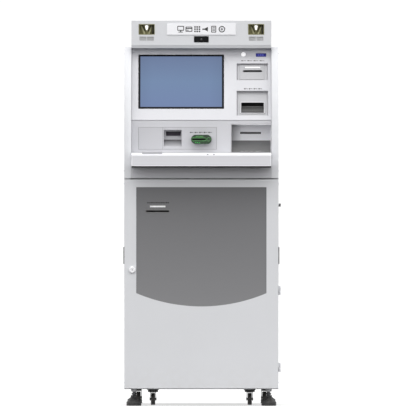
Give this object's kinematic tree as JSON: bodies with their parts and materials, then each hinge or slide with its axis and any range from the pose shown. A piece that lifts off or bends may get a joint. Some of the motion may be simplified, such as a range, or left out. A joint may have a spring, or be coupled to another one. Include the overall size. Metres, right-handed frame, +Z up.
{
  "type": "atm machine",
  "caption": "Free-standing self-service banking kiosk with a tilted touch screen, card and paper slots, a PIN pad on a shelf, a hinged cabinet door, casters and levelling feet.",
  "frame": {"origin": "on the floor, at the middle of the footprint", "axes": "+Z up; -Y towards the user, the side of the screen and the front door; +X to the user's right"},
  "size_m": [0.6546, 0.6675, 1.6],
  "materials": {
    "powder_coat": "satin powder coat",
    "white_moulding": "satin",
    "sign_acrylic": "gloss",
    "door_inset_grey": "satin",
    "reflector": "satin",
    "black_plastic": "satin",
    "lamp_dome": "gloss",
    "screen_glass": "gloss",
    "dark_grey_plastic": "matte",
    "outlet_grey": "satin",
    "green_translucent": "gloss",
    "paper": "matte",
    "key_steel": "brushed",
    "cast_aluminium": "satin",
    "dark_sheet": "matte",
    "switch_red": "gloss",
    "lock_chrome": "polished",
    "black_zinc": "satin black zinc",
    "wheel_rubber": "matte",
    "foot_nylon": "satin"
  },
  "bodies": {
    "cabinet": {"cabinet_shell": "powder_coat", "upper_hood": "powder_coat", "front_panel": "powder_coat", "shelf": "white_moulding", "screen_fascia": "white_moulding", "header_housing": "powder_coat", "sign_plate": "sign_acrylic", "lamp_units": "reflector", "camera_unit": "black_plastic", "status_lamp": "lamp_dome", "touch_screen": "screen_glass", "monitor": "dark_grey_plastic", "card_outlet": "outlet_grey", "document_acceptor": "black_plastic", "reader_panel": "powder_coat", "card_mouth": "green_translucent", "card_reader": "dark_grey_plastic", "receipt_bay": "white_moulding", "receipt_printer": "dark_grey_plastic", "pin_pad": "dark_grey_plastic", "id_reader_pad": "white_moulding", "card_dispenser": "cast_aluminium", "industrial_pc": "dark_sheet", "power_supply": "dark_sheet", "side_handles": "black_plastic", "mains_inlet": "black_plastic", "rear_caster_forks": "black_zinc"},
    "front_door": {"front_door": "powder_coat", "door_inset": "door_inset_grey", "door_slot_bezel": "black_plastic"},
    "front_lock": {"front_lock": "lock_chrome"},
    "rear_door": {"rear_door": "powder_coat"},
    "rear_lock": {"rear_lock": "lock_chrome"},
    "front_left_fork": {"front_left_fork": "black_zinc"},
    "front_right_fork": {"front_right_fork": "black_zinc"},
    "front_left_wheel": {"front_left_wheel": "wheel_rubber"},
    "front_right_wheel": {"front_right_wheel": "wheel_rubber"},
    "rear_left_wheel": {"rear_left_wheel": "wheel_rubber"},
    "rear_right_wheel": {"rear_right_wheel": "wheel_rubber"},
    "front_left_foot": {"front_left_foot": "foot_nylon"},
    "front_right_foot": {"front_right_foot": "foot_nylon"},
    "rear_left_foot": {"rear_left_foot": "foot_nylon"},
    "rear_right_foot": {"rear_right_foot": "foot_nylon"},
    "power_switch": {"power_switch": "switch_red"},
    "paper_roll": {"paper_roll": "paper"},
    "key_1": {"key_1": "key_steel"},
    "key_2": {"key_2": "key_steel"},
    "key_3": {"key_3": "key_steel"},
    "key_cancel": {"key_cancel": "key_steel"},
    "key_4": {"key_4": "key_steel"},
    "key_5": {"key_5": "key_steel"},
    "key_6": {"key_6": "key_steel"},
    "key_clear": {"key_clear": "key_steel"},
    "key_7": {"key_7": "key_steel"},
    "key_8": {"key_8": "key_steel"},
    "key_9": {"key_9": "key_steel"},
    "key_enter": {"key_enter": "key_steel"},
    "key_star": {"key_star": "key_steel"},
    "key_0": {"key_0": "key_steel"},
    "key_hash": {"key_hash": "key_steel"}
  },
  "joints": [
    {"name": "front_door_hinge", "type": "hinge", "parent": "cabinet", "child": "front_door", "pos_m": [0.3248, -0.209, 0.5], "axis": [0, 0, 1], "range_deg": [0, 110]},
    {"name": "front_lock_turn", "type": "hinge", "parent": "front_door", "child": "front_lock", "pos_m": [-0.2865, -0.23, 0.565], "axis": [0, -1, 0], "range_deg": [0, 90]},
    {"name": "rear_door_hinge", "type": "hinge", "parent": "cabinet", "child": "rear_door", "pos_m": [0.312, 0.322, 1.2], "axis": [0, 0, -1], "range_deg": [0, 110]},
    {"name": "rear_lock_turn", "type": "hinge", "parent": "rear_door", "child": "rear_lock", "pos_m": [-0.29, 0.33, 1.22], "axis": [0, -1, 0], "range_deg": [0, 90]},
    {"name": "front_left_swivel", "type": "hinge", "parent": "cabinet", "child": "front_left_fork", "pos_m": [-0.201, -0.14, 0.06], "axis": [0, 0, 1], "continuous": true},
    {"name": "front_right_swivel", "type": "hinge", "parent": "cabinet", "child": "front_right_fork", "pos_m": [0.201, -0.14, 0.06], "axis": [0, 0, 1], "continuous": true},
    {"name": "front_left_wheel_spin", "type": "hinge", "parent": "front_left_fork", "child": "front_left_wheel", "pos_m": [-0.201, -0.118, 0.027], "axis": [1, 0, 0], "continuous": true},
    {"name": "front_right_wheel_spin", "type": "hinge", "parent": "front_right_fork", "child": "front_right_wheel", "pos_m": [0.201, -0.118, 0.027], "axis": [1, 0, 0], "continuous": true},
    {"name": "rear_left_wheel_spin", "type": "hinge", "parent": "cabinet", "child": "rear_left_wheel", "pos_m": [-0.2635, 0.2, 0.027], "axis": [1, 0, 0], "continuous": true},
    {"name": "rear_right_wheel_spin", "type": "hinge", "parent": "cabinet", "child": "rear_right_wheel", "pos_m": [0.2635, 0.2, 0.027], "axis": [1, 0, 0], "continuous": true},
    {"name": "front_left_foot_raise", "type": "slide", "parent": "cabinet", "child": "front_left_foot", "axis": [0, 0, 1], "range_m": [0, 0.014]},
    {"name": "front_right_foot_raise", "type": "slide", "parent": "cabinet", "child": "front_right_foot", "axis": [0, 0, 1], "range_m": [0, 0.014]},
    {"name": "rear_left_foot_raise", "type": "slide", "parent": "cabinet", "child": "rear_left_foot", "axis": [0, 0, 1], "range_m": [0, 0.014]},
    {"name": "rear_right_foot_raise", "type": "slide", "parent": "cabinet", "child": "rear_right_foot", "axis": [0, 0, 1], "range_m": [0, 0.014]},
    {"name": "power_switch_rock", "type": "hinge", "parent": "cabinet", "child": "power_switch", "pos_m": [-0.185, 0.326, 0.13], "axis": [1, 0, 0], "range_deg": [-16, 0]},
    {"name": "paper_roll_spin", "type": "hinge", "parent": "cabinet", "child": "paper_roll", "pos_m": [0.2045, 0.022, 1.127], "axis": [1, 0, 0], "continuous": true},
    {"name": "key_1_press", "type": "slide", "parent": "cabinet", "child": "key_1", "axis": [0, 0, -1], "range_m": [0, 0.002], "stiffness_N_per_m": 1500, "springref_m": -0.0005},
    {"name": "key_2_press", "type": "slide", "parent": "cabinet", "child": "key_2", "axis": [0, 0, -1], "range_m": [0, 0.002], "stiffness_N_per_m": 1500, "springref_m": -0.0005},
    {"name": "key_3_press", "type": "slide", "parent": "cabinet", "child": "key_3", "axis": [0, 0, -1], "range_m": [0, 0.002], "stiffness_N_per_m": 1500, "springref_m": -0.0005},
    {"name": "key_cancel_press", "type": "slide", "parent": "cabinet", "child": "key_cancel", "axis": [0, 0, -1], "range_m": [0, 0.002], "stiffness_N_per_m": 1500, "springref_m": -0.0005},
    {"name": "key_4_press", "type": "slide", "parent": "cabinet", "child": "key_4", "axis": [0, 0, -1], "range_m": [0, 0.002], "stiffness_N_per_m": 1500, "springref_m": -0.0005},
    {"name": "key_5_press", "type": "slide", "parent": "cabinet", "child": "key_5", "axis": [0, 0, -1], "range_m": [0, 0.002], "stiffness_N_per_m": 1500, "springref_m": -0.0005},
    {"name": "key_6_press", "type": "slide", "parent": "cabinet", "child": "key_6", "axis": [0, 0, -1], "range_m": [0, 0.002], "stiffness_N_per_m": 1500, "springref_m": -0.0005},
    {"name": "key_clear_press", "type": "slide", "parent": "cabinet", "child": "key_clear", "axis": [0, 0, -1], "range_m": [0, 0.002], "stiffness_N_per_m": 1500, "springref_m": -0.0005},
    {"name": "key_7_press", "type": "slide", "parent": "cabinet", "child": "key_7", "axis": [0, 0, -1], "range_m": [0, 0.002], "stiffness_N_per_m": 1500, "springref_m": -0.0005},
    {"name": "key_8_press", "type": "slide", "parent": "cabinet", "child": "key_8", "axis": [0, 0, -1], "range_m": [0, 0.002], "stiffness_N_per_m": 1500, "springref_m": -0.0005},
    {"name": "key_9_press", "type": "slide", "parent": "cabinet", "child": "key_9", "axis": [0, 0, -1], "range_m": [0, 0.002], "stiffness_N_per_m": 1500, "springref_m": -0.0005},
    {"name": "key_enter_press", "type": "slide", "parent": "cabinet", "child": "key_enter", "axis": [0, 0, -1], "range_m": [0, 0.002], "stiffness_N_per_m": 1500, "springref_m": -0.0005},
    {"name": "key_star_press", "type": "slide", "parent": "cabinet", "child": "key_star", "axis": [0, 0, -1], "range_m": [0, 0.002], "stiffness_N_per_m": 1500, "springref_m": -0.0005},
    {"name": "key_0_press", "type": "slide", "parent": "cabinet", "child": "key_0", "axis": [0, 0, -1], "range_m": [0, 0.002], "stiffness_N_per_m": 1500, "springref_m": -0.0005},
    {"name": "key_hash_press", "type": "slide", "parent": "cabinet", "child": "key_hash", "axis": [0, 0, -1], "range_m": [0, 0.002], "stiffness_N_per_m": 1500, "springref_m": -0.0005}
  ]
}
